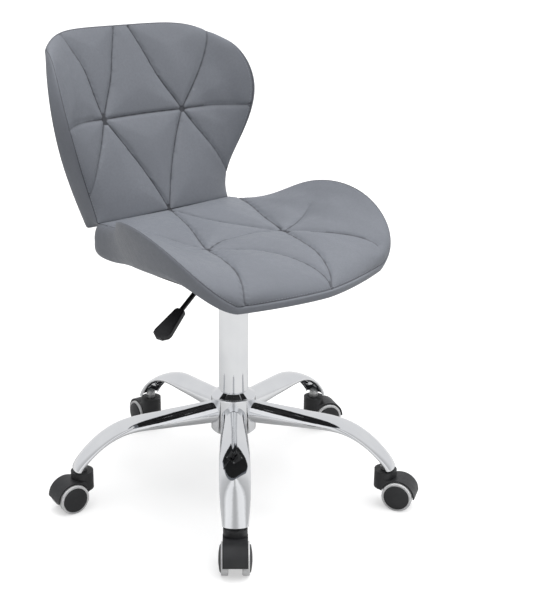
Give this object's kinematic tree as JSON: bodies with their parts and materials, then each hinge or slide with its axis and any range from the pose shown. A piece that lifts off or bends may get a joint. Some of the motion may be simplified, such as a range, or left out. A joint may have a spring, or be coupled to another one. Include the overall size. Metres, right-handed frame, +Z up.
{
  "type": "adjustable swivel stool",
  "caption": "Low-backed swivel stool with a quilted winged seat and back on a gas lift, a star-shaped tube base and twin-wheel casters.",
  "frame": {"origin": "on the floor, on the axis of the column", "axes": "+Z up; -Y is the way the sitter faces; +X is the sitter's left"},
  "size_m": [0.6109, 0.6018, 0.757],
  "materials": {
    "chrome": "polished",
    "steel": "zinc plated",
    "black_steel": "satin black powder coat",
    "charcoal_plastic": "fine matt",
    "grey_tread": "smooth soft tread",
    "grey_leather": "soft coated leather with a fine grain",
    "black_cloth": "thin woven lining",
    "plywood": "raw moulded plywood"
  },
  "bodies": {
    "base": {"base_hub": "chrome", "base_arm_1": "chrome", "base_arm_2": "chrome", "base_arm_3": "chrome", "base_arm_4": "chrome", "base_arm_5": "chrome", "caster_sockets": "steel", "caster_stems": "steel", "column_tube": "chrome", "guide_bushing": "charcoal_plastic", "thrust_bearing": "steel"},
    "piston": {"piston_rod": "steel", "piston_head": "charcoal_plastic", "retaining_clip": "steel"},
    "seat": {"gas_cylinder": "black_steel", "seat_plate": "black_steel", "seat_bolts": "steel", "tee_nuts": "steel", "lever_pivot": "steel", "seat_dust_cover": "black_cloth", "seat_board": "plywood", "seat_cushion": "grey_leather", "back_cushion": "grey_leather", "back_board": "plywood", "back_rear_panel": "grey_leather", "back_brackets": "black_steel", "bracket_screws": "steel"},
    "lever": {"lever_rod": "black_steel", "lever_handle": "charcoal_plastic"},
    "release_pin": {"release_pin": "steel"},
    "caster_1": {"caster_hood_1": "charcoal_plastic", "caster_axle_1": "steel"},
    "wheel_left_1": {"wheel_core_left_1": "charcoal_plastic", "wheel_tread_left_1": "grey_tread"},
    "wheel_right_1": {"wheel_core_right_1": "charcoal_plastic", "wheel_tread_right_1": "grey_tread"},
    "caster_2": {"caster_hood_2": "charcoal_plastic", "caster_axle_2": "steel"},
    "wheel_left_2": {"wheel_core_left_2": "charcoal_plastic", "wheel_tread_left_2": "grey_tread"},
    "wheel_right_2": {"wheel_core_right_2": "charcoal_plastic", "wheel_tread_right_2": "grey_tread"},
    "caster_3": {"caster_hood_3": "charcoal_plastic", "caster_axle_3": "steel"},
    "wheel_left_3": {"wheel_core_left_3": "charcoal_plastic", "wheel_tread_left_3": "grey_tread"},
    "wheel_right_3": {"wheel_core_right_3": "charcoal_plastic", "wheel_tread_right_3": "grey_tread"},
    "caster_4": {"caster_hood_4": "charcoal_plastic", "caster_axle_4": "steel"},
    "wheel_left_4": {"wheel_core_left_4": "charcoal_plastic", "wheel_tread_left_4": "grey_tread"},
    "wheel_right_4": {"wheel_core_right_4": "charcoal_plastic", "wheel_tread_right_4": "grey_tread"},
    "caster_5": {"caster_hood_5": "charcoal_plastic", "caster_axle_5": "steel"},
    "wheel_left_5": {"wheel_core_left_5": "charcoal_plastic", "wheel_tread_left_5": "grey_tread"},
    "wheel_right_5": {"wheel_core_right_5": "charcoal_plastic", "wheel_tread_right_5": "grey_tread"}
  },
  "joints": [
    {"name": "swivel", "type": "hinge", "parent": "base", "child": "piston", "pos_m": [0, 0, 0.09], "axis": [0, 0, 1], "continuous": true},
    {"name": "lift", "type": "slide", "parent": "piston", "child": "seat", "axis": [0, 0, 1], "range_m": [0, 0.12]},
    {"name": "lever", "type": "hinge", "parent": "seat", "child": "lever", "pos_m": [-0.02371, -0.00375, 0.38], "axis": [-0.1564, 0.9877, 0], "range_deg": [0, 5.2], "stiffness_Nm_per_rad": 0.4},
    {"name": "release", "type": "slide", "parent": "seat", "child": "release_pin", "axis": [0, 0, 1], "range_m": [-0.0022, 0]},
    {"name": "caster_1_swivel", "type": "hinge", "parent": "base", "child": "caster_1", "pos_m": [-0.17562, -0.19711, 0.05], "axis": [0, 0, 1], "continuous": true},
    {"name": "wheel_left_1_roll", "type": "hinge", "parent": "caster_1", "child": "wheel_left_1", "pos_m": [-0.19177, -0.21486, 0.025], "axis": [0.7396, -0.673, 0], "continuous": true},
    {"name": "wheel_right_1_roll", "type": "hinge", "parent": "caster_1", "child": "wheel_right_1", "pos_m": [-0.19177, -0.21486, 0.025], "axis": [0.7396, -0.673, 0], "continuous": true},
    {"name": "caster_2_swivel", "type": "hinge", "parent": "base", "child": "caster_2", "pos_m": [0.1332, -0.22794, 0.05], "axis": [0, 0, 1], "continuous": true},
    {"name": "wheel_left_2_roll", "type": "hinge", "parent": "caster_2", "child": "wheel_left_2", "pos_m": [0.14435, -0.24919, 0.025], "axis": [0.8854, 0.4648, 0], "continuous": true},
    {"name": "wheel_right_2_roll", "type": "hinge", "parent": "caster_2", "child": "wheel_right_2", "pos_m": [0.14435, -0.24919, 0.025], "axis": [0.8854, 0.4648, 0], "continuous": true},
    {"name": "caster_3_swivel", "type": "hinge", "parent": "base", "child": "caster_3", "pos_m": [0.25794, 0.05624, 0.05], "axis": [0, 0, 1], "continuous": true},
    {"name": "wheel_left_3_roll", "type": "hinge", "parent": "caster_3", "child": "wheel_left_3", "pos_m": [0.27974, 0.04621, 0.025], "axis": [0.4179, 0.9085, 0], "continuous": true},
    {"name": "wheel_right_3_roll", "type": "hinge", "parent": "caster_3", "child": "wheel_right_3", "pos_m": [0.27974, 0.04621, 0.025], "axis": [0.4179, 0.9085, 0], "continuous": true},
    {"name": "caster_4_swivel", "type": "hinge", "parent": "base", "child": "caster_4", "pos_m": [0.02622, 0.2627, 0.05], "axis": [0, 0, 1], "continuous": true},
    {"name": "wheel_left_4_roll", "type": "hinge", "parent": "caster_4", "child": "wheel_left_4", "pos_m": [0.03022, 0.28636, 0.025], "axis": [-0.986, 0.1668, 0], "continuous": true},
    {"name": "wheel_right_4_roll", "type": "hinge", "parent": "caster_4", "child": "wheel_right_4", "pos_m": [0.03022, 0.28636, 0.025], "axis": [-0.986, 0.1668, 0], "continuous": true},
    {"name": "caster_5_swivel", "type": "hinge", "parent": "base", "child": "caster_5", "pos_m": [-0.24174, 0.10611, 0.05], "axis": [0, 0, 1], "continuous": true},
    {"name": "wheel_left_5_roll", "type": "hinge", "parent": "caster_5", "child": "wheel_left_5", "pos_m": [-0.26548, 0.10958, 0.025], "axis": [-0.1444, -0.9895, 0], "continuous": true},
    {"name": "wheel_right_5_roll", "type": "hinge", "parent": "caster_5", "child": "wheel_right_5", "pos_m": [-0.26548, 0.10958, 0.025], "axis": [-0.1444, -0.9895, 0], "continuous": true}
  ],
  "couplings": [
    {"joint": "release", "follows": "lever", "m_per_rad": -0.024}
  ]
}
